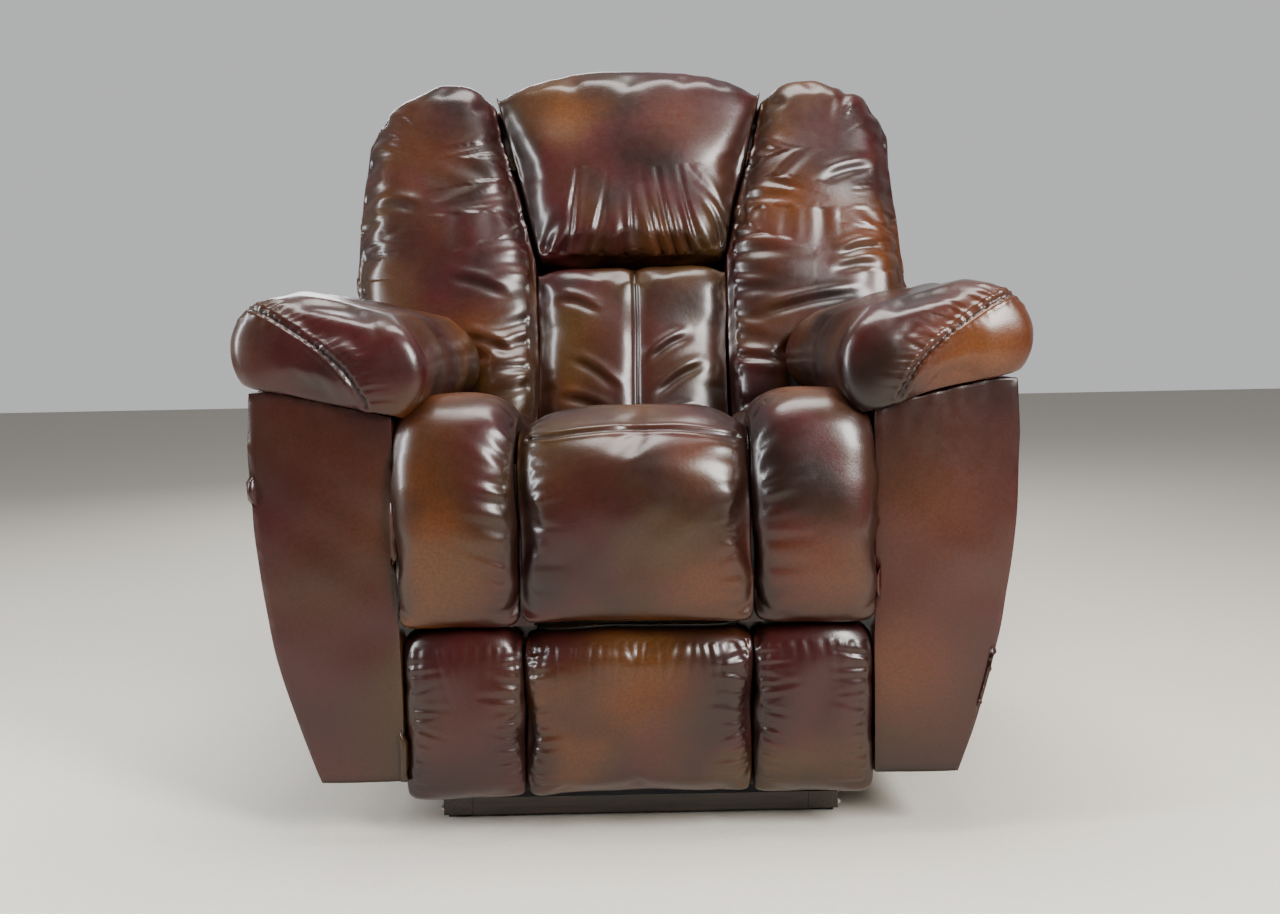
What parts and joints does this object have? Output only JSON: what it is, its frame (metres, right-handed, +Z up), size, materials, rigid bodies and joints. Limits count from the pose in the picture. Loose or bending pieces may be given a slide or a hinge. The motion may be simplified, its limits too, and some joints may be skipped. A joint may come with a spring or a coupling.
{
  "type": "rocker recliner armchair",
  "caption": "Leather rocker recliner with a channelled back, pillow arms, a three-pad seat, and a footrest that folds out on links.",
  "frame": {"origin": "on the floor, under the middle of the chair's outer box", "axes": "+Z up; the sitter faces -Y, so +X is the sitter's left"},
  "size_m": [1.02, 0.9117, 1.1409],
  "materials": {
    "leather": "satin",
    "frame_wood": "matte",
    "base_wood": "matte",
    "mechanism_steel": "satin",
    "link_steel": "satin",
    "spring_steel": "satin",
    "glide_plastic": "matte",
    "handle_plastic": "satin",
    "webbing": "matte"
  },
  "bodies": {
    "base": {"left_base_runner": "base_wood", "right_base_runner": "base_wood", "left_base_glide": "glide_plastic", "right_base_glide": "glide_plastic", "front_base_rail": "base_wood", "rear_base_rail": "base_wood", "left_rocker_spring": "spring_steel", "right_rocker_spring": "spring_steel"},
    "chair_body": {"left_rocker_cam": "frame_wood", "right_rocker_cam": "frame_wood", "front_cross_tube": "mechanism_steel", "rear_cross_tube": "mechanism_steel", "front_body_rail": "frame_wood", "left_mechanism_plate": "mechanism_steel", "right_mechanism_plate": "mechanism_steel", "left_arm_frame": "frame_wood", "left_arm_cover": "leather", "left_arm_pad": "leather", "right_arm_frame": "frame_wood", "right_arm_cover": "leather", "right_arm_pad": "leather", "handle_escutcheon": "handle_plastic"},
    "drive": {"drive_shaft": "link_steel", "handle": "handle_plastic"},
    "seat": {"left_seat_rail": "frame_wood", "right_seat_rail": "frame_wood", "front_seat_rail": "frame_wood", "rear_seat_rail": "frame_wood", "left_seat_spring": "spring_steel", "right_seat_spring": "spring_steel", "left_seat_pad": "leather", "centre_seat_pad": "leather", "right_seat_pad": "leather"},
    "back": {"left_back_post": "frame_wood", "right_back_post": "frame_wood", "top_back_rail": "frame_wood", "middle_back_rail": "frame_wood", "bottom_back_rail": "frame_wood", "lumbar_webbing": "webbing", "left_back_bracket": "mechanism_steel", "right_back_bracket": "mechanism_steel", "left_back_pad": "leather", "right_back_pad": "leather", "head_pillow": "leather", "lumbar_pad": "leather", "back_cover": "leather"},
    "rear_links": {"left_rear_link": "link_steel", "right_rear_link": "link_steel"},
    "front_links": {"left_front_link": "link_steel", "right_front_link": "link_steel"},
    "control_links": {"left_control_link": "link_steel", "right_control_link": "link_steel"},
    "board_links": {"left_board_link": "link_steel", "right_board_link": "link_steel"},
    "footrest": {"footrest_board": "frame_wood", "left_footrest_bracket": "mechanism_steel", "right_footrest_bracket": "mechanism_steel", "left_footrest_pad": "leather", "centre_footrest_pad": "leather", "right_footrest_pad": "leather"}
  },
  "joints": [
    {"name": "rock", "type": "hinge", "parent": "base", "child": "chair_body", "pos_m": [0, 0.0262, 0.062], "axis": [-1, 0, 0], "range_deg": [-4, 6], "stiffness_Nm_per_rad": 1100, "deforming": ["left_rocker_spring", "right_rocker_spring"]},
    {"name": "footrest_open", "type": "hinge", "parent": "chair_body", "child": "rear_links", "pos_m": [0, -0.2688, 0.262], "axis": [-1, 0, 0], "range_deg": [0, 133]},
    {"name": "front_link_turn", "type": "hinge", "parent": "rear_links", "child": "front_links", "pos_m": [0, -0.12384, 0.11704], "axis": [-1, 0, 0], "range_deg": [-103, 0]},
    {"name": "footrest_turn", "type": "hinge", "parent": "front_links", "child": "footrest", "pos_m": [0, -0.3323, 0.15], "axis": [-1, 0, 0], "range_deg": [0, 58]},
    {"name": "control_link_turn", "type": "hinge", "parent": "chair_body", "child": "control_links", "pos_m": [0, -0.2242, 0.2406], "axis": [-1, 0, 0], "range_deg": [0, 130.6]},
    {"name": "board_link_turn", "type": "hinge", "parent": "rear_links", "child": "board_links", "pos_m": [0, -0.14564, 0.14174], "axis": [-1, 0, 0], "range_deg": [-106.9, 0]},
    {"name": "handle_turn", "type": "hinge", "parent": "chair_body", "child": "drive", "pos_m": [0, -0.0838, 0.31], "axis": [-1, 0, 0], "range_deg": [0, 75]},
    {"name": "recline", "type": "hinge", "parent": "chair_body", "child": "back", "pos_m": [0, 0.1262, 0.42], "axis": [-1, 0, 0], "range_deg": [0, 40]},
    {"name": "seat_glide", "type": "slide", "parent": "chair_body", "child": "seat", "axis": [0, -1, 0], "range_m": [0, 0.03]}
  ],
  "couplings": [
    {"joint": "front_link_turn", "follows": "footrest_open", "ratio": -0.77443},
    {"joint": "footrest_turn", "follows": "footrest_open", "ratio": 0.43609},
    {"joint": "control_link_turn", "follows": "footrest_open", "ratio": 0.98195},
    {"joint": "board_link_turn", "follows": "footrest_open", "ratio": -0.80375},
    {"joint": "handle_turn", "follows": "footrest_open", "ratio": 0.5639},
    {"joint": "seat_glide", "follows": "recline", "m_per_rad": 0.04297}
  ]
}
